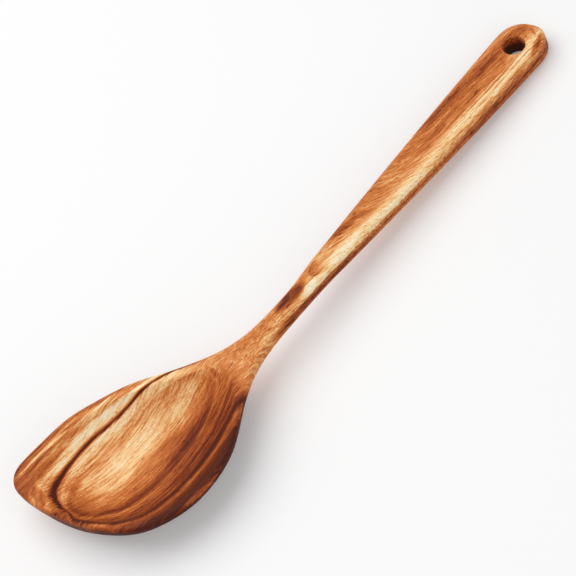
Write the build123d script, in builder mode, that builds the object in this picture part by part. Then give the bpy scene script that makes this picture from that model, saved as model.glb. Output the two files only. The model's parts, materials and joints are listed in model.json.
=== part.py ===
from build123d import *
import os

# A one-piece wooden corner spoon, lying on its back with the bowl and the end of the handle on
# the ground. X runs along the handle, from the bowl's front edge to the handle's round end.
# Y points to the side that has the bowl's corner, and Z is up. Sizes in millimetres. The origin is
# on the ground under the middle of the spoon's box, and Y below is counted from the handle's axis.

# Overall
overall_length = 305.0
bowl_length = 90.5
neck_length = 62.0
belly_reach = 27.2
corner_reach = 54.3
rim_height = 20.3
rim_wall = 3.3
edge_softening = 1.5

# Handle: a flat bar that rises from its round end to the neck
handle_thickness = 10.7
handle_width = 22.5
end_length = 12.6
end_apex_inset = 2.2
rest_inset = 5.5
crest_lead = 18.0
neck_lift = 1.0
neck_half_width = 5.4
flare_power = 1.5

# Rounding of the faces towards the edges, at the neck and at the round end
neck_drop = 2.7
shoulder_drop = 1.5
neck_edge_rise = 3.3
end_edge_rise = 1.2
neck_top_power = 3.2
end_top_power = 6.0
neck_lower_power = 2.9
end_lower_power = 6.0

# Hanging hole
hole_inset = 15.3
hole_radius = 5.2
hole_easing = 0.5

# Hollow of the bowl, and how its wall curves down to the floor
hollow_depth = 14.3
hollow_easing = 0.8
hollow_power = 2.4
hollow_depth_shares = [-0.1, 0, 0.3, 0.6, 0.85, 0.985]

# Thumb scoop along the handle, cut by a round nose
scoop_depth = 1.1
scoop_lead = 8.0
scoop_length = 140.0
scoop_radius = 38.0

# Places on the bowl seen from above: the share of the bowl's length from its front, and the share
# of its reach to the corner side, or to the belly side where it is negative
hollow_middle_shares = (0.503, 0.2026)
hollow_edge_shares = [
    (1.013, 0), (0.867, -0.566), (0.569, -0.904), (0.282, -0.669), (0.1, 0.026),
    (0.043, 0.479), (0.127, 0.792), (0.359, 0.838), (0.657, 0.645), (0.9, 0.313),
]
front_edge_shares = [
    (0.1, -0.154), (0.033, 0.221), (0.0066, 0.497), (0, 0.755), (0.0254, 0.921), (0.085, 0.993),
]
corner_lead_shares = (1, -0.05)
belly_lead_shares = (-0.45, 1)

# Sections of the bowl: share of its length, shares of its reach to the belly side and to the
# corner side, share of the rim's height that the underside has on the middle line, and the power
# of the underside's curve. The first three lie before the outline's sides.
bowl_shares = [
    (-0.0387, -0.22, 0.958, 0.818, 2.0),
    (0.0276, -0.037, 1.004, 0.62, 2.0),
    (0.095, 0.22, 1.004, 0.424, 2.0),
    (0.1713, 0.522, 0.996, 0.246, 2.1),
    (0.2762, 0.776, 0.976, 0.0985, 2.2),
    (0.4232, 0.963, 0.932, 0.0098, 2.3),
    (0.569, 0.996, 0.827, 0.0049, 2.3),
    (0.7238, 0.897, 0.681, 0.079, 2.2),
    (0.8674, 0.658, 0.481, 0.207, 2.1),
]
sections_before_sides = 3

# Sections of the neck: share of its length, shares of the handle's start that the belly side and
# the corner side add, share of the lift over the rim, share of its thickness that the handle
# gains, shares of the top's drop and the underside's rise at the edges, and their powers
neck_shares = [
    (0, 1.13, 2.074, 0.3, 0.271, 0.15, 2.91, 2.2, 2.1),
    (0.21, 0.185, 0.74, 0.7, 0.093, 0.59, 1.576, 2.4, 2.2),
    (0.419, -0.111, 0.111, 1, 0.019, 0.926, 1.09, 2.6, 2.4),
    (0.613, -0.093, -0.093, 1, 0, 1, 0.97, 2.7, 2.7),
    (0.8065, -0.074, -0.148, 0.5, -0.009, 0.815, 0.91, 2.9, 2.8),
]

# Sections of the handle's round end: share of its length, shares of the handle's thickness by
# which the top sinks and the underside lifts, share of the drop at the edges, and their power
end_shares = [
    (0.5, 0.0093, 0.0047, 1.467, 4.2),
    (1, 0.1215, 0.042, 1.867, 3.6),
    (1.25, 0.2056, 0.0748, 1.867, 3.6),
]

# Sections of the scoop: share of its length, share of its depth, share of the nose's radius
scoop_shares = [
    (0, -0.55, 0.092), (0.025, 0.41, 0.158), (0.0714, 1, 0.21), (0.343, 1, 0.474),
    (0.629, 0.82, 0.71), (0.9, 0.09, 0.947), (1, -0.45, 1),
]

# The sections reach this far past the outline, and their curves level off there. Along the
# handle they stand about one spacing apart.
margin = 2.4
levelling = 12
section_spacing = 11.7
across_shares = [-1.0, -0.9, -0.8, -0.65, -0.4, 0, 0.4, 0.65, 0.8, 0.9, 1.0]
upright_share = 0.01

front_x = -overall_length / 2
end_x = overall_length / 2
neck_start_x = front_x + bowl_length
handle_start_x = neck_start_x + neck_length
crest_x = handle_start_x - crest_lead
rest_x = end_x - rest_inset
hole_x = end_x - hole_inset
scoop_x = handle_start_x - scoop_lead
handle_y = (belly_reach - corner_reach) / 2
end_half_width = handle_width / 2
end_centre = (end_x - end_length, -end_apex_inset)
handle_steps = round((end_centre[0] - handle_start_x) / section_spacing)
rim_bottom = rim_height - rim_wall
underside_slope = (rim_height + neck_lift - handle_thickness) / (rest_x - crest_x)


def handle_underside(x):
    """Height of the handle's underside, a straight line that meets the ground at rest_x."""
    return (rest_x - x) * underside_slope


def between(start, end, share):
    return start + share * (end - start)


def bowl_point(along_share, across_share):
    """A place on the bowl, seen from above."""
    reach = corner_reach if across_share > 0 else belly_reach
    return (front_x + along_share * bowl_length, across_share * reach)


# Each row is x, the belly edge, the corner edge, the heights of the top and of the underside on
# the middle line, the top's drop and the underside's rise at the edges, and their two powers. A
# high power keeps the middle flat and rounds only the edges.
def bowl_row(share, belly_share, corner_share, underside_share, power):
    x, corner = bowl_point(share, corner_share)
    underside = underside_share * rim_height
    return (x, -belly_share * belly_reach, corner, rim_height, underside, 0,
            rim_bottom - underside, power, power)


def neck_row(share, belly_share, corner_share, lift_share, thick_share, drop_share, rise_share,
             top_power, lower_power):
    top = rim_height + lift_share * neck_lift
    return (neck_start_x + share * neck_length, -neck_half_width * (1 + belly_share),
            neck_half_width * (1 + corner_share), top, top - handle_thickness * (1 + thick_share),
            drop_share * neck_drop, rise_share * neck_edge_rise, top_power, lower_power)


def handle_row(share):
    """A row of the handle, from its start at the neck (0) to where its end turns round (1)."""
    x = between(handle_start_x, end_centre[0], share)
    half_width = between(end_half_width, neck_half_width, (1 - share) ** flare_power)
    low = handle_underside(x)
    return (x, -half_width, half_width, low + handle_thickness, low, shoulder_drop,
            between(neck_edge_rise, end_edge_rise, share),
            between(neck_top_power, end_top_power, share),
            between(neck_lower_power, end_lower_power, share))


def end_row(share, sink_share, lift_share, drop_share, power):
    x = between(end_centre[0], end_x, share)
    low = handle_underside(x)
    return (x, -end_half_width, end_half_width, low + handle_thickness * (1 - sink_share),
            low + handle_thickness * lift_share, drop_share * shoulder_drop, end_edge_rise,
            power, power)


bowl_rows = [bowl_row(*shares) for shares in bowl_shares]
neck_rows = [neck_row(*shares) for shares in neck_shares]
handle_rows = [handle_row(step / handle_steps) for step in range(handle_steps + 1)]
end_rows = [end_row(*shares) for shares in end_shares]
side_rows = bowl_rows[sections_before_sides:] + neck_rows + handle_rows


def edge_curve(reach_share, power):
    """0 on the middle line and 1 at the edge, and past the edge it levels off."""
    if reach_share <= 1:
        return reach_share**power
    beyond = reach_share - 1
    return 1 + power * beyond / (1 + levelling * beyond)


def section_points(row):
    """The top's and the underside's points of one section, a little past both edges."""
    x, belly, corner, top, underside, drop, rise, top_power, lower_power = row
    middle, half = (belly + corner) / 2, (corner - belly) / 2
    upper, lower = [], []
    for share in across_shares:
        offset = share * (half + margin)
        reach_share = abs(offset) / half
        upper.append((middle + offset, top - drop * edge_curve(reach_share, top_power)))
        lower.append((middle + offset, underside + rise * edge_curve(reach_share, lower_power)))
    return upper, lower


def hollow_points(size_share):
    """The hollow's edge drawn in towards the middle of its floor."""
    middle_x, middle_y = bowl_point(*hollow_middle_shares)
    edge = [bowl_point(*shares) for shares in hollow_edge_shares]
    return [(between(middle_x, x, size_share), between(middle_y, y, size_share)) for x, y in edge]


# Outline seen from above: both sides, which run straight along the handle at its round end
corner_side = [(row[0], row[2]) for row in side_rows]
front_edge = [bowl_point(*shares) for shares in front_edge_shares] + corner_side[:1]
belly_side = front_edge[:1] + [(row[0], row[1]) for row in side_rows]
plan = Plane((0, handle_y, 0))
even_shares = (1, 1)
along = Vector(1, 0)
corner_lead = Vector(*corner_lead_shares).normalized()
belly_lead = Vector(*belly_lead_shares).normalized()

with BuildPart() as spoon:
    # The body's thickness, a little wider than the outline
    for row in bowl_rows + neck_rows + handle_rows + end_rows:
        top, underside = section_points(row)
        with BuildSketch(Plane(origin=(row[0], handle_y, 0), x_dir=(0, 1, 0), z_dir=(1, 0, 0))):
            with BuildLine():
                Spline(*top)
                Line(top[-1], underside[-1])
                Spline(*reversed(underside))
                Line(underside[0], top[0])
            make_face()
    loft()

    # The outline, sawn straight down through it
    with BuildSketch(plan):
        with BuildLine():
            Spline(*corner_side, tangents=(corner_lead, along), tangent_scalars=even_shares)
            Spline(*belly_side, tangents=(-belly_lead, along), tangent_scalars=even_shares)
            Spline(*front_edge, tangents=(belly_lead, corner_lead), tangent_scalars=even_shares)
            EllipticalCenterArc(
                end_centre, end_length, end_half_width - end_apex_inset, start_angle=-90
            )
            EllipticalCenterArc(end_centre, end_length, end_half_width + end_apex_inset)
        make_face()
    extrude(amount=2 * rim_height, both=True, mode=Mode.INTERSECT)

    # Softened edges all round
    walls = spoon.faces(Select.LAST).filter_by(lambda face: abs(face.normal_at().Z) < upright_share)
    wall_edges = walls.edges().filter_by(Axis.Z, reverse=True)
    fillet(wall_edges, radius=edge_softening)

    # Hollow of the bowl, steep at the rim and flat in the middle
    for depth_share in hollow_depth_shares:
        size_share = (1 - depth_share) ** (1 / hollow_power)
        level = plan.offset(rim_height - depth_share * hollow_depth)
        with BuildSketch(level):
            with BuildLine():
                Spline(*hollow_points(size_share), periodic=True)
            make_face()
    loft(mode=Mode.SUBTRACT)
    hollow_rim = spoon.edges(Select.LAST).filter_by_position(Axis.Z, rim_bottom, 2 * rim_height)
    fillet(hollow_rim, radius=hollow_easing)

    # Hanging hole, square to the handle
    hole_plane = Plane(
        origin=(hole_x, handle_y, handle_underside(hole_x)), z_dir=(underside_slope, 0, 1)
    )
    with BuildSketch(hole_plane):
        Circle(hole_radius)
    extrude(amount=2 * handle_thickness, both=True, mode=Mode.SUBTRACT)
    hole_edges = spoon.edges(Select.LAST).filter_by(lambda edge: not edge.is_closed, reverse=True)
    chamfer(hole_edges, length=hole_easing)

    # Thumb scoop, cut by a nose that widens along the handle
    for share, depth_share, radius_share in scoop_shares:
        x = scoop_x + share * scoop_length
        radius = radius_share * scoop_radius
        floor = handle_underside(x) + handle_thickness - depth_share * scoop_depth
        with BuildSketch(Plane(origin=(x, handle_y, floor + radius), z_dir=(1, 0, 0))):
            Circle(radius)
    loft(mode=Mode.SUBTRACT)

spoon.part.label = "spoon"

os.makedirs("parts", exist_ok=True)
export_step(spoon.part, "parts/spoon.step")
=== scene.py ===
"""Wooden corner spoon in oiled acacia, on a white floor under soft studio light."""

import json
import math

import bpy
from bpy.props import FloatProperty, FloatVectorProperty, PointerProperty
from mathutils import Matrix, Vector

bl_info = {
    "name": "Wooden Corner Spoon",
    "version": (1, 0, 0),
    "blender": (4, 5, 0),
    "location": "View3D > Sidebar > Spoon",
    "description": "Finishes the spoon in oiled acacia and sets its studio",
    "category": "Object",
}

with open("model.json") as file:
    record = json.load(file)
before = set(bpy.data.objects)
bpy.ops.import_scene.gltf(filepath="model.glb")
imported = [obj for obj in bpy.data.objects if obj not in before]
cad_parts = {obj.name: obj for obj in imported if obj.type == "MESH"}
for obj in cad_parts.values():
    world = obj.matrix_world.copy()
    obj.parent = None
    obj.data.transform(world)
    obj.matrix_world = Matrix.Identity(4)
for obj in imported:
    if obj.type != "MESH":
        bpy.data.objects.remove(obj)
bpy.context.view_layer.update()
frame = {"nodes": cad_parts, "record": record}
HOLE = frame["record"]["mounts"][0]
HOLE_X, HOLE_Y = HOLE["pos_m"][:2]
MM = 0.001
HOLE_RADIUS = HOLE["dims"]["r_mm"] * MM

# Height of the handle's top at the hole, and how steeply it rises towards the neck
HANDLE_TOP = HOLE["pos_m"][2] + HOLE["dims"]["length_mm"] / 2 * MM
HANDLE_SLOPE = HOLE["axis"][0] / HOLE["axis"][2]

# The floor: half its side in metres, its paint, and the glow that makes it look white
FLOOR_REACH = 2.0
FLOOR_PAINT = (0.84, 0.84, 0.84, 1)
FLOOR_GLOW = 0.16
WHITE = (1, 1, 1, 1)

# The camera: its sensor in millimetres, and how near and how far it sees in metres
SENSOR_WIDTH = 36
NEAREST, FARTHEST = 0.01, 20


def srgb(red, green, blue):
    """A colour as shown on screen, 0 to 255, as the linear values that a shader takes."""
    shares = [channel / 255 for channel in (red, green, blue)]
    return tuple(s / 12.92 if s <= 0.04045 else ((s + 0.055) / 1.055) ** 2.4 for s in shares)


def colour_property(name, description, *screen_colour):
    """A colour that is given as it is shown on screen."""
    return FloatVectorProperty(
        name=name, description=description, subtype="COLOR", size=3, min=0, max=1,
        default=srgb(*screen_colour),
    )


def length_property(name, description, millimetres):
    """A length that is given in millimetres."""
    return FloatProperty(
        name=name, description=description, unit="LENGTH", default=millimetres * MM,
        min=0.01 * MM,
    )


class SpoonWood(bpy.types.PropertyGroup):
    """Colours and sizes of the oiled acacia."""

    cream: colour_property("Cream", "Palest sapwood", 255, 246, 216)
    straw: colour_property("Straw", "Light streaks", 255, 213, 149)
    amber: colour_property("Amber", "Main colour of the wood", 223, 135, 68)
    russet: colour_property("Russet", "Darker bands", 175, 88, 36)
    umber: colour_property("Umber", "Growth rings", 119, 45, 14)
    ember: colour_property("Ember", "Darkest heartwood", 71, 22, 5)
    fibre_width: length_property("Fibre Width", "Width of a fine streak", 0.55)
    fibre_length: length_property("Fibre Length", "Length of a fine streak", 10)
    band_width: length_property("Band Width", "Width of a broad streak", 2.4)
    band_length: length_property("Band Length", "Length of a broad streak", 90)
    pore_width: length_property("Pore Width", "Width of an open pore", 0.35)
    pore_length: length_property("Pore Length", "Length of an open pore", 2.6)
    contrast: FloatProperty(
        name="Fibre Contrast", description="How far the fine streaks change the wood's tone",
        subtype="FACTOR", default=1.1, min=0, max=2,
    )
    roughness: FloatProperty(
        name="Roughness", description="Roughness of the oiled surface", subtype="FACTOR",
        default=0.52, min=0, max=1,
    )


class SpoonStudio(bpy.types.PropertyGroup):
    """The camera, the two lamps and the even light."""

    distance: FloatProperty(
        name="Distance", description="From the camera to the aim", unit="LENGTH", default=0.991,
    )
    azimuth: FloatProperty(
        name="Azimuth", description="Camera's turn round the spoon", subtype="ANGLE",
        default=math.radians(-23.938),
    )
    elevation: FloatProperty(
        name="Elevation", description="Camera's angle above the floor", subtype="ANGLE",
        default=math.radians(52.062),
    )
    roll: FloatProperty(
        name="Roll", description="Camera's tilt about its own axis", subtype="ANGLE",
        default=math.radians(-31.225),
    )
    lens: FloatProperty(
        name="Lens", description="Focal length on a 36 mm sensor, in millimetres",
        default=143.766,
    )
    aim: FloatVectorProperty(
        name="Aim", description="The point at the middle of the picture", unit="LENGTH", size=3,
        subtype="XYZ", default=(-0.011781, -0.001784, 0.009914),
    )
    lamp_place: FloatVectorProperty(
        name="Lamp Place", description="Middle of the large soft lamp", unit="LENGTH", size=3,
        subtype="XYZ", default=(-0.05, 0.44, 1.0),
    )
    lamp_size: FloatProperty(
        name="Lamp Size", description="Side of the square lamp", unit="LENGTH", default=1.3,
    )
    lamp_power: FloatProperty(
        name="Lamp Power", description="Power of the lamp, in watts", default=8.8,
    )
    fill_place: FloatVectorProperty(
        name="Fill Place", description="Middle of the weak lamp on the camera's side",
        unit="LENGTH", size=3, subtype="XYZ", default=(-0.2, -0.85, 0.6),
    )
    fill_size: FloatProperty(
        name="Fill Size", description="Side of the weak square lamp", unit="LENGTH", default=1.0,
    )
    fill_power: FloatProperty(
        name="Fill Power", description="Power of the weak lamp, in watts", default=2.8,
    )
    sky: FloatProperty(name="Sky", description="Strength of the even light", default=0.387)


# The places below are on the plan, in millimetres of the frame. The hollow cuts the growth rings
# as egg shapes: the middle of each, its turn in degrees, and its reach to the bowl's front, to
# the neck, to the belly side and to the corner side
INNER_RING = ((-126.8, 3.9), -7, (17.7, 61.9, 14.8, 14.3))
BELLY_RING = ((-120, 3), -6, (28.2, 130, 28, 28))
CORNER_RING = ((-111.8, 6.2), -14.5, (35.6, 60, 17.1, 17.1))

# How dark the wood is on the bowl's belly side, corner side and front, from the middle of its
# floor (-1) over the inner ring (0) and the outer one (1) to the rim. A tone of 0 is cream and 1
# the darkest heartwood. The limits are the places where a table's scale starts and ends
BELLY_TONES = [
    (-1, 0.2), (-0.7, 0.43), (-0.45, 0.53), (-0.3, 0.61), (-0.15, 0.76), (-0.02, 0.84),
    (0.06, 0.68), (0.16, 0.6), (0.3, 0.56), (0.38, 0.66), (0.45, 0.56), (0.52, 0.7),
    (0.62, 0.84), (0.68, 0.68), (0.76, 0.82), (0.84, 0.72), (0.93, 1), (0.98, 0.92),
    (1.06, 0.58), (1.12, 0.76), (1.2, 0.98), (1.32, 1.05), (1.36, 0.85), (1.39, 0.5),
    (1.43, 0.8), (1.5, 0.88),
]
CORNER_TONES = [
    (-1, 0.2), (-0.5, 0.2), (-0.2, 0.26), (-0.05, 0.38), (0.03, 0.36), (0.12, 0.28),
    (0.3, 0.22), (0.5, 0.22), (0.65, 0.16), (0.8, 0.24), (0.86, 0.5), (0.92, 0.95),
    (0.99, 0.92), (1.06, 0.44), (1.12, 0.2), (1.22, 0.06), (1.34, 0), (1.4, 0.16),
    (1.48, 0.36), (1.6, 0.38), (1.8, 0.4), (1.92, 0.54), (2.02, 0.52), (2.1, 0.4),
]
FRONT_TONES = [
    (-1, 0.3), (-0.5, 0.36), (-0.2, 0.42), (-0.06, 0.56), (0.06, 0.54), (0.16, 0.42),
    (0.4, 0.38), (0.66, 0.42), (0.78, 0.6), (0.88, 0.82), (0.98, 0.78), (1.1, 0.5),
    (1.24, 0.36), (1.44, 0.46), (1.56, 0.42), (1.9, 0.5),
]
RING_LIMITS = (-1, 2.5)

# The directions, as shares across and along the bowl, over which the corner side's rings take over
# from the belly side's, the front's begin, and the front's end again
TO_CORNER_SIDE = (-0.4, 0.6)
TO_FRONT = (0.55, 0.9)
FRONT_TO_CORNER_SIDE = (-0.1, 0.35)

# The thin layers beside the rings: how many there are in a metre along the bowl and between two
# rings, how much they change the tone, and the places between which they begin
LAYERS_ALONG = 14
LAYERS_ACROSS = 9
LAYER_CHANGE = 0.55
LAYERS_BEGIN = (-0.7, 0)

# The least gap between two rings, and the least reach, that a place is measured by
LEAST_GAP = 0.05
LEAST_REACH = 0.01

# How dark the handle is from its belly side to its corner side, by the distance in millimetres
# from its axis
HANDLE_TONES = [
    (-12, 0.42), (-10, 0.36), (-8.5, 0.28), (-7, 0.2), (-5.5, 0.21), (-4, 0.28),
    (-2.5, 0.38), (0, 0.44), (3.5, 0.46), (6.5, 0.48), (9, 0.44), (12, 0.4),
]
HANDLE_LIMITS = (-12, 12)

# Stretches along the spoon are in metres of the frame. The bowl's wood ends where the neck begins,
# nearer to the handle in the middle than at the edges. The neck has one tone, and then the
# handle's tones take over
BOWL_END = (-66 * MM, -54 * MM)
BOWL_END_BOW = 0.35
NECK_TONE = 0.4
NECK_END = (-14 * MM, 12 * MM)

# How dark the handle's sides are, by the depth in millimetres below its top. The lighter tone at
# 10.6 mm, along the lower edge, is a painted reflection of the floor
SIDE_TONES = [
    (0, 0.4), (3, 0.46), (4.5, 0.52), (5.4, 0.72), (6.2, 0.54), (8, 0.47), (9.6, 0.45),
    (10.6, 0.34), (12, 0.45),
]
SIDE_LIMITS = (0, 12)

# The depth and the stretch at which a side begins, how ragged its layers are, and how much darker
# it is near the neck and near the round end
SIDE_TOP = (2 * MM, 3.4 * MM)
SIDE_BEGIN = (-42 * MM, -26 * MM)
SIDE_RAGGEDNESS = 1.5 * MM
NEAR_NECK_CHANGE = 0.16
NEAR_NECK_END = (10 * MM, 34 * MM)
NEAR_END_CHANGE = 0.14
NEAR_END_BEGIN = (60 * MM, 120 * MM)

# The thumb scoop's rounded start, as an egg shape, and the painted shade just inside it and the
# painted highlight just outside it, along its lip
SCOOP_START = ((6, -14), 0, (11.5, 60, 4.6, 4.6))
SCOOP_SHADE_AND_HIGHLIGHT = [(-0.5, 0), (-0.15, 0.1), (-0.02, 0.16), (0.03, -0.2), (0.14, -0.22), (0.3, 0)]
SCOOP_LIMITS = (-0.5, 0.5)
SCOOP_BEGIN = (-9 * MM, -6 * MM)
SCOOP_END = (-2 * MM, 6 * MM)

# Under the rim, where the surface faces down, the bowl's belly side is darker, partly dark
# heartwood and partly
# painted shade: by how much, how far the surface faces up where that ends, and how far it reaches
# towards the corner side
UNDER_RIM_HEARTWOOD_AND_SHADE = 0.3
UNDER_RIM_FACING = (-0.1, 0.35)
UNDER_RIM_END = (0, 30 * MM)

# Painted shade on the hole's wall, darker further down: its tone's change at the top and per
# millimetre down, and its edge
HOLE_SHADE_AT_TOP = -0.02
HOLE_SHADE_PER_MM = 0.05
HOLE_SHADE_EDGE = 0.4 * MM

# The grain: how far it slants to the belly side in each metre, and how far it drifts on the handle
GRAIN_SLANT = 0.1
GRAIN_DRIFT = 24 * MM
GRAIN_DRIFT_STRETCH = (0, 85 * MM)

# How fast the grain changes with depth, next to how fast it changes across: the share in the bowl,
# and what is added to it along the neck
DEPTH_IN_BOWL = 0.12
DEPTH_ADDED = 0.4
DEPTH_STRETCH = (-66 * MM, -20 * MM)

# The detail and roughness of each noise, and the noise at which a pore begins and is fully open
FIBRE_NOISE = (4, 0.8)
BAND_NOISE = (3, 0.6)
LAYER_NOISE = (3, 0.7)
PORE_NOISE = (1, 0.5)
PORE_OPENS = (0.1, 0.22)

# A slow wander of the grain: how many times it changes in a metre along and across. It shifts the
# figure along and across the spoon, and so do the fibres and the bands
WANDER_ALONG = 16
WANDER_ACROSS = 60
WANDER_SHIFT = (8 * MM, 3 * MM)
FIBRE_SHIFT = (3 * MM, 0.5 * MM)
BAND_SHIFT = 1 * MM

# How much the bands change the tone in the bowl, on the handle and on its sides, and the pores
BOWL_BANDS = 0.3
HANDLE_BANDS = 0.35
SIDE_BANDS = 0.4
PORE_CHANGE = 0.28

# The tones at which the six colours stand, from cream to ember
COLOUR_TONES = (0.02, 0.22, 0.42, 0.64, 0.84, 1.0)

# The surface: how deep the fibres and pores are, how rough they make it, and its gloss
RELIEF = {"Strength": 0.3, "Distance": 0.05 * MM}
PORE_RELIEF = 0.6
FIBRE_ROUGHNESS = 0.15
PORE_ROUGHNESS = 0.2
GLOSS = {"IOR": 1.4, "Specular IOR Level": 0.2}

# Streaks and patches: the place of the middle, half the length and half the width, the turn in
# degrees, and how much darker (or, below zero, lighter) the wood is there. Most are the wood's
# figure; a few are painted highlights and painted shade, marked where they stand. A streak fades
# out over its edge, given as shares from its rim to its middle
STREAK_EDGE = (0, 0.8)
STREAKS_AND_PAINTED_LIGHT = [
    # Floor of the hollow, and the bowl's front
    ((-104, 13), (56, 24), -6, 0.05),
    ((-128, 8), (11, 8), 0, 0.06),
    ((-104, 9), (18, 7), -6, -0.05),
    ((-104, 20), (15, 4), -14, -0.08),
    ((-104, 27.5), (15, 3), -16, -0.12),
    ((-141, 36), (7, 3), 0, -0.12),
    ((-146, -12), (2, 10), 27, -0.14),
    ((-153, 18), (24, 36), 0, 0.26),
    ((-77, -3.5), (19, 7), -6, -0.22),
    ((-63.5, -6), (1.2, 5), -12, 0.16),
    # Painted shade: darkens the belly-side wall where it faces the lamp
    ((-90, -18), (28, 12), 0, 0.1),
    ((-149, 21), (3, 8), -28, 0.24),
    ((-142, 12), (4, 7), -20, -0.12),
    ((-140, 36), (10, 0.6), -6, -0.16),
    ((-124, 33.3), (14, 0.6), -8, -0.16),
    ((-104, 29), (12, 0.7), -16, -0.2),
    ((-130, 29), (10, 2.4), -6, 0.14),
    ((-131, 38), (14, 0.8), -6, 0.28),
    ((-138, 34.2), (12, 0.9), -5, 0.2),
    ((-113, 31.4), (12, 0.8), -14, 0.22),
    # Neck
    ((-23, -12.6), (6, 2.2), 3, 0.16),
    ((-19, -14), (10, 4), 0, 0.3),
    ((-42, -10), (22, 5), -8, 0.07),
    ((22, -16.8), (24, 3), -3, -0.08),
    ((-28, -17.5), (20, 2), -2, -0.08),
    ((24, -17), (24, 3), -2, 0.05),
    # Painted highlights, the next two: the sheen along the neck's belly-side shoulder
    ((-8, -18), (11, 2), -2, -0.24),
    ((12, -17), (16, 3), -2, -0.14),
    ((4, -21.6), (20, 2), -2, 0.16),
    ((48, -22), (26, 2.4), -2, -0.12),
    # Painted highlight: specks of sheen at the neck's belly-side edge
    ((-9, -16.6), (5, 3.2), 20, -0.14),
    ((6, -12), (7, 8), 0, -0.08),
    ((-35, -9.4), (14, 2), -12, -0.06),
    # Middle of the handle
    ((21, -10), (10, 2.4), -8, 0.2),
    ((32, -12.4), (8, 2.4), -32, 0.1),
    ((42, -8.8), (9, 1.8), -28, 0.06),
    ((52, -10.5), (7, 2.8), -28, -0.08),
    ((67, -9), (8, 2.4), -32, 0.05),
    # End of the handle
    ((108, -11), (42, 6), -1, 0.06),
    ((92, -7), (15, 2.6), -3, 0.12),
    ((124, -10.2), (18, 2), -3, 0.14),
    ((143, -10), (9, 3), -10, 0.16),
    ((143.5, -22), (8, 1.6), 20, 0.28),
    ((148.5, -16), (4, 1), 62, 0.16),
    ((77, -14), (11, 3.4), 0, 0.12),
    ((100, -8), (44, 4), -1, 0.08),
    ((70, -18), (26, 3), -1, 0.06),
    ((146, -23), (9, 2.6), 25, 0.14),
    ((108, -14), (34, 3), 0, 0.06),
    ((108, -17.8), (36, 2.8), -1, 0.16),
    ((108, -22.2), (44, 1.2), -1, -0.06),
    ((134, -6.6), (8, 1.6), 0, 0.05),
    ((105, -18.4), (32, 0.6), -1, -0.1),
    ((115, -20.2), (30, 0.5), -1, -0.08),
    ((112, -19.3), (30, 0.5), -1, 0.12),
    ((118, -21.4), (28, 0.5), 0, 0.12),
    ((122, -22.4), (26, 0.6), 0, -0.06),
]


class Amount:
    """A value in a finish that varies over the surface, and can be used in sums."""

    def __init__(self, finish, socket):
        self.finish = finish
        self.socket = socket

    def _math(self, operation, *terms):
        settings = {"operation": operation}
        return self.finish.node("ShaderNodeMath", settings, dict(enumerate(terms)))

    def __add__(self, other):
        return self._math("ADD", self, other)

    def __sub__(self, other):
        return self._math("SUBTRACT", self, other)

    def __mul__(self, other):
        return self._math("MULTIPLY", self, other)

    def __truediv__(self, other):
        return self._math("DIVIDE", self, other)

    def __pow__(self, other):
        return self._math("POWER", self, other)

    def __radd__(self, other):
        return self._math("ADD", other, self)

    def __rsub__(self, other):
        return self._math("SUBTRACT", other, self)

    def __rmul__(self, other):
        return self._math("MULTIPLY", other, self)

    def __rtruediv__(self, other):
        return self._math("DIVIDE", other, self)

    def __abs__(self):
        return self._math("ABSOLUTE", self)

    def at_least(self, other):
        return self._math("MAXIMUM", self, other)

    def at_most(self, other):
        return self._math("MINIMUM", self, other)

    def rise(self, start, stop):
        """0 before start and 1 after stop, with a soft step between them."""
        settings = {"interpolation_type": "SMOOTHSTEP"}
        inputs = {"Value": self, "From Min": start, "From Max": stop}
        return self.finish.node("ShaderNodeMapRange", settings, inputs, "Result")


def set_stops(elements, stops):
    """Gives a colour ramp its stops: a place, 0 to 1, and a colour each."""
    elements.remove(elements[-1])
    for index, (place, colour) in enumerate(stops):
        element = elements.new(place) if index else elements[0]
        element.position = place
        element.color = (*colour, 1)


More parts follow.
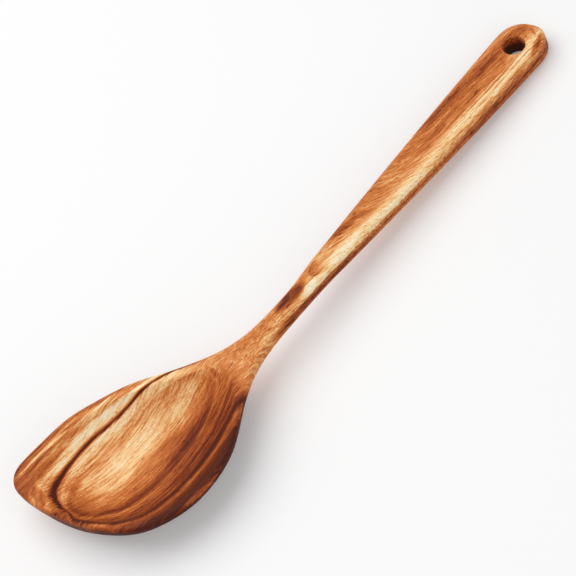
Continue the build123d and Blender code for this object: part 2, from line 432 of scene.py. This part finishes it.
class Finish:
    """The nodes of a material or of the sky."""

    def __init__(self, owner):
        owner.use_nodes = True
        self.owner = owner
        self.tree = owner.node_tree
        self.tree.nodes.clear()

    def node(self, kind, settings=None, inputs=None, output=0):
        """Adds a node: its settings or stops first, then the values and links of its sockets."""
        node = self.tree.nodes.new(kind)
        for name, value in (settings or {}).items():
            if name == "stops":
                set_stops(node.color_ramp.elements, value)
            else:
                setattr(node, name, value)
        for name, value in (inputs or {}).items():
            if isinstance(value, Amount):
                self.tree.links.new(value.socket, node.inputs[name])
            else:
                node.inputs[name].default_value = value
        return Amount(self, node.outputs[output]) if node.outputs else None

    def upwards(self):
        """How far the surface faces up, from -1 on the underside to 1 on the top."""
        normal = self.node("ShaderNodeNewGeometry", output="Normal")
        return self.node("ShaderNodeSeparateXYZ", inputs={"Vector": normal}, output="Z")

    def place(self):
        """The three coordinates of a place on the spoon."""
        coordinates = self.node("ShaderNodeTexCoord", output="Object")
        split = self.node("ShaderNodeSeparateXYZ", inputs={"Vector": coordinates}).socket.node
        return [Amount(self, output) for output in split.outputs]

    def noise(self, x, y, z, detail=2.0, roughness=0.5):
        """Soft noise about one unit wide, from -0.5 to 0.5."""
        vector = self.node("ShaderNodeCombineXYZ", inputs={"X": x, "Y": y, "Z": z})
        inputs = {"Vector": vector, "Scale": 1.0, "Detail": detail, "Roughness": roughness}
        return self.node("ShaderNodeTexNoise", inputs=inputs, output="Fac") - 0.5

    def ramp(self, amount, stops):
        """A colour that follows stops of a place, 0 to 1, and a colour."""
        return self.node("ShaderNodeValToRGB", {"stops": stops}, {"Fac": amount})

    def levels(self, amount, table, limits):
        """A level that follows a table of places and levels between the limits."""
        low, high = limits
        stops = [((place - low) / (high - low), (level,) * 3) for place, level in table]
        return self.ramp((amount - low) / (high - low), stops)

    def where_seen(self, unseen, seen):
        """One shader for the light, and another where a camera, a mirror or a glass looks."""
        path = self.node("ShaderNodeLightPath").socket.node
        rays = ("Is Camera Ray", "Is Glossy Ray", "Is Transmission Ray")
        camera, mirror, glass = [Amount(self, path.outputs[ray]) for ray in rays]
        share = (camera + mirror + glass).at_most(1)
        return self.node("ShaderNodeMixShader", inputs={0: share, 1: unseen, 2: seen})

    def surface(self, shader, kind="ShaderNodeOutputMaterial"):
        """Gives the shader to the material or the sky, and returns that."""
        self.node(kind, inputs={"Surface": shader})
        return self.owner


def turned(x, y, middle, degrees):
    """Coordinates along and across a line through the middle, turned on the plan."""
    cosine, sine = math.cos(math.radians(degrees)), math.sin(math.radians(degrees))
    along_x, across_y = x - middle[0] * MM, y - middle[1] * MM
    return along_x * cosine + across_y * sine, across_y * cosine - along_x * sine


def beyond_ring(x, y, ring):
    """How far a place is beyond a ring, 0 on it and -1 in its middle, and its direction."""
    middle, turn, (front, neck, belly, corner) = ring
    along, across = turned(x, y, middle, turn)
    along_reach = along.at_least(0) / (neck * MM) + along.at_most(0) / (front * MM)
    across_reach = across.at_least(0) / (corner * MM) + across.at_most(0) / (belly * MM)
    reach = (along_reach * along_reach + across_reach * across_reach) ** 0.5
    divisor = reach.at_least(LEAST_REACH)
    return reach - 1, along_reach / divisor, across_reach / divisor


def ring_tone(finish, x, y):
    """Tone of the growth rings in the bowl."""
    inner, to_neck, to_corner = beyond_ring(x, y, INNER_RING)
    tones, places = [], []
    for ring, table in ((BELLY_RING, BELLY_TONES), (CORNER_RING, CORNER_TONES)):
        outer = beyond_ring(x, y, ring)[0]
        place = inner.at_least(0) / (inner - outer).at_least(LEAST_GAP) + inner.at_most(0)
        layers = finish.noise(x * LAYERS_ALONG, place * LAYERS_ACROSS, 0.0, *LAYER_NOISE)
        layers = layers * inner.rise(*LAYERS_BEGIN)
        tones.append(finish.levels(place, table, RING_LIMITS) + layers * LAYER_CHANGE)
        places.append(place)
    corner_share = to_corner.rise(*TO_CORNER_SIDE)
    tone = tones[0] + (tones[1] - tones[0]) * corner_share
    front_place = places[0] + (places[1] - places[0]) * corner_share
    front = finish.levels(front_place, FRONT_TONES, RING_LIMITS)
    front_share = (0 - to_neck).rise(*TO_FRONT) * (1 - to_corner.rise(*FRONT_TO_CORNER_SIDE))
    return tone + (front - tone) * front_share


def streak_tone(x, y, streak):
    """How much a streak changes the tone, fading out towards its edge."""
    middle, (half_length, half_width), turn, change = streak
    along, across = turned(x, y, middle, turn)
    along_share, across_share = along / (half_length * MM), across / (half_width * MM)
    inside = 1 - (along_share * along_share + across_share * across_share)
    return inside.rise(*STREAK_EDGE) * change


def acacia(wood):
    """Oiled acacia: rings in the bowl, streaks on the handle, fibres and pores all over, with some
    painted shade and painted highlights.
    """
    finish = Finish(bpy.data.materials.new("oiled_acacia"))
    x, y, z = finish.place()

    # The grain drifts to the belly side, most of all along the middle of the handle
    across = y + x * GRAIN_SLANT + x.rise(*GRAIN_DRIFT_STRETCH) * GRAIN_DRIFT
    depth = z * (DEPTH_IN_BOWL + DEPTH_ADDED * x.rise(*DEPTH_STRETCH))
    fibres = finish.noise(
        x / wood.fibre_length, across / wood.fibre_width, depth / wood.fibre_width, *FIBRE_NOISE
    )
    bands = finish.noise(
        x / wood.band_length, across / wood.band_width, depth / wood.band_width, *BAND_NOISE
    )
    pores = finish.noise(
        x / wood.pore_length, across / wood.pore_width, z / wood.pore_width, *PORE_NOISE
    ).rise(*PORE_OPENS)

    # Rings and streaks wander a little with the fibres
    wander = finish.noise(x * WANDER_ALONG, across * WANDER_ACROSS, z * WANDER_ACROSS)
    plan_x = x + wander * WANDER_SHIFT[0] + fibres * FIBRE_SHIFT[0]
    plan_y = y + wander * WANDER_SHIFT[1] + bands * BAND_SHIFT + fibres * FIBRE_SHIFT[1]

    handle = finish.levels((plan_y - HOLE_Y) / MM, HANDLE_TONES, HANDLE_LIMITS)
    handle = NECK_TONE + (handle - NECK_TONE) * x.rise(*NECK_END) + bands * HANDLE_BANDS
    on_handle = (x + abs(y - HOLE_Y) * BOWL_END_BOW).rise(*BOWL_END)
    rings = ring_tone(finish, plan_x, plan_y) + bands * BOWL_BANDS
    tone = rings + (handle - rings) * on_handle
    # Streaks of the figure, with some painted highlights and painted shade among them
    for streak in STREAKS_AND_PAINTED_LIGHT:
        tone = tone + streak_tone(plan_x, plan_y, streak)
    # Painted shade just inside the thumb scoop's start, and a painted highlight along its lip
    scoop_shade_and_highlight = finish.levels(beyond_ring(x, y, SCOOP_START)[0], SCOOP_SHADE_AND_HIGHLIGHT, SCOOP_LIMITS)
    tone = tone + scoop_shade_and_highlight * (1 - x.rise(*SCOOP_END)) * x.rise(*SCOOP_BEGIN)

    # Under the rim, where the surface faces down, the bowl's belly side is darker: partly dark
    # heartwood, partly painted shade
    under_rim_heartwood_and_shade = (1 - finish.upwards().rise(*UNDER_RIM_FACING)) * (1 - on_handle)
    tone = tone + under_rim_heartwood_and_shade * (1 - y.rise(*UNDER_RIM_END)) * UNDER_RIM_HEARTWOOD_AND_SHADE

    # Down the handle's sides the board has layers of its own, and along the lower edge a painted
    # reflection of the floor lightens them
    below_top = HANDLE_TOP - (x - HOLE_X) * HANDLE_SLOPE - z + fibres * SIDE_RAGGEDNESS
    side = finish.levels(below_top / MM, SIDE_TONES, SIDE_LIMITS) + bands * SIDE_BANDS
    side = side + NEAR_NECK_CHANGE * (1 - x.rise(*NEAR_NECK_END))
    side = side + NEAR_END_CHANGE * x.rise(*NEAR_END_BEGIN)
    on_side = below_top.rise(*SIDE_TOP) * x.rise(*SIDE_BEGIN)
    tone = tone + (side - tone) * on_side
    tone = tone + fibres * wood.contrast + pores * PORE_CHANGE

    # Painted shade down the hole's wall, darker the deeper it goes
    from_hole = ((x - HOLE_X) ** 2 + (y - HOLE_Y) ** 2) ** 0.5
    painted_hole_shade = HOLE_SHADE_AT_TOP + HOLE_SHADE_PER_MM * (below_top / MM)
    tone = tone + (1 - from_hole.rise(HOLE_RADIUS, HOLE_RADIUS + HOLE_SHADE_EDGE)) * painted_hole_shade

    colours = (wood.cream, wood.straw, wood.amber, wood.russet, wood.umber, wood.ember)
    stops = [(place, tuple(colour)) for place, colour in zip(COLOUR_TONES, colours)]
    heights = {"Height": fibres - pores * PORE_RELIEF}
    roughness = wood.roughness + fibres * FIBRE_ROUGHNESS + pores * PORE_ROUGHNESS
    inputs = {
        "Base Color": finish.ramp(tone, stops),
        "Roughness": roughness,
        "Normal": finish.node("ShaderNodeBump", inputs={**RELIEF, **heights}),
        **GLOSS,
    }
    return finish.surface(finish.node("ShaderNodeBsdfPrincipled", inputs=inputs))


def white_floor():
    """A pale floor that looks white and still shows the shadow."""
    finish = Finish(bpy.data.materials.new("white_floor"))
    paint = finish.node("ShaderNodeBsdfDiffuse", inputs={"Color": FLOOR_PAINT})
    glow = finish.node("ShaderNodeEmission", inputs={"Strength": FLOOR_GLOW})
    glowing_paint = finish.node("ShaderNodeAddShader", inputs={0: paint, 1: glow})
    return finish.surface(finish.where_seen(paint, glowing_paint))


def white_sky(strength):
    """Even light of the given strength that looks white itself."""
    finish = Finish(bpy.data.worlds.new("studio_sky"))
    light = finish.node("ShaderNodeBackground", inputs={"Color": WHITE, "Strength": strength})
    white = finish.node("ShaderNodeBackground", inputs={"Color": WHITE, "Strength": 1})
    return finish.surface(finish.where_seen(light, white), "ShaderNodeOutputWorld")


class SPOON_OT_wood(bpy.types.Operator):
    """Give the spoon its oiled acacia"""

    bl_idname = "spoon.wood"
    bl_label = "Acacia Finish"

    def execute(self, context):
        material = acacia(context.scene.spoon_wood)
        for slot in frame["nodes"]["spoon"].material_slots:
            slot.material = material
        return {"FINISHED"}


class SPOON_OT_stage(bpy.types.Operator):
    """Set the floor, the lamps, the even light and the camera"""

    bl_idname = "spoon.stage"
    bl_label = "Studio"

    def execute(self, context):
        studio = context.scene.spoon_studio
        self.lay_floor(context)
        lamps = (
            ("soft_lamp", studio.lamp_place, studio.lamp_size, studio.lamp_power),
            ("fill_lamp", studio.fill_place, studio.fill_size, studio.fill_power),
        )
        for lamp in lamps:
            self.hang_lamp(context, *lamp)
        context.scene.world = white_sky(studio.sky)
        self.place_camera(context, studio)
        context.scene.view_settings.view_transform = "Standard"
        return {"FINISHED"}

    def lay_floor(self, context):
        """Lays a square floor at the height that the spoon rests on."""
        near, far = -FLOOR_REACH, FLOOR_REACH
        corners = [(near, near, 0), (far, near, 0), (far, far, 0), (near, far, 0)]
        mesh = bpy.data.meshes.new("studio_floor")
        mesh.from_pydata(corners, [], [(0, 1, 2, 3)])
        mesh.materials.append(white_floor())
        floor = bpy.data.objects.new("studio_floor", mesh)
        context.scene.collection.objects.link(floor)

    def hang_lamp(self, context, name, place, size, power):
        """Hangs a square lamp that shines at the origin."""
        data = bpy.data.lights.new(name, "AREA")
        data.size = size
        data.energy = power
        lamp = bpy.data.objects.new(name, data)
        context.scene.collection.objects.link(lamp)
        place = Vector(place)
        turn = place.to_track_quat("Z", "Y").to_matrix().to_4x4()
        lamp.matrix_world = Matrix.Translation(place) @ turn

    def place_camera(self, context, studio):
        """Points the camera at the aim from the given angles and distance."""
        data = bpy.data.cameras.new("camera")
        data.lens = studio.lens
        data.sensor_width = SENSOR_WIDTH
        data.clip_start, data.clip_end = NEAREST, FARTHEST
        camera = bpy.data.objects.new("camera", data)
        context.scene.collection.objects.link(camera)
        level = math.cos(studio.elevation)
        back = Vector((
            math.sin(studio.azimuth) * level,
            -math.cos(studio.azimuth) * level,
            math.sin(studio.elevation),
        ))
        place = Vector(studio.aim) + back * studio.distance
        turn = back.to_track_quat("Z", "Y").to_matrix().to_4x4()
        roll = Matrix.Rotation(studio.roll, 4, "Z")
        camera.matrix_world = Matrix.Translation(place) @ turn @ roll
        context.scene.camera = camera


class SPOON_PT_panel(bpy.types.Panel):
    """The spoon's colours, sizes and operators"""

    bl_idname = "SPOON_PT_panel"
    bl_label = "Corner Spoon"
    bl_space_type = "VIEW_3D"
    bl_region_type = "UI"
    bl_category = "Spoon"

    def draw(self, context):
        scene = context.scene
        parts = ((scene.spoon_wood, SPOON_OT_wood), (scene.spoon_studio, SPOON_OT_stage))
        for group, operator in parts:
            box = self.layout.box()
            for name in group.__annotations__:
                box.prop(group, name)
            box.operator(operator.bl_idname)


CLASSES = (SpoonWood, SpoonStudio, SPOON_OT_wood, SPOON_OT_stage, SPOON_PT_panel)


def register():
    for cls in CLASSES:
        bpy.utils.register_class(cls)
    bpy.types.Scene.spoon_wood = PointerProperty(type=SpoonWood)
    bpy.types.Scene.spoon_studio = PointerProperty(type=SpoonStudio)


def unregister():
    del bpy.types.Scene.spoon_studio
    del bpy.types.Scene.spoon_wood
    for cls in reversed(CLASSES):
        bpy.utils.unregister_class(cls)


def main():
    register()
    bpy.ops.spoon.wood()
    bpy.ops.spoon.stage()


if __name__ == "__main__":
    main()
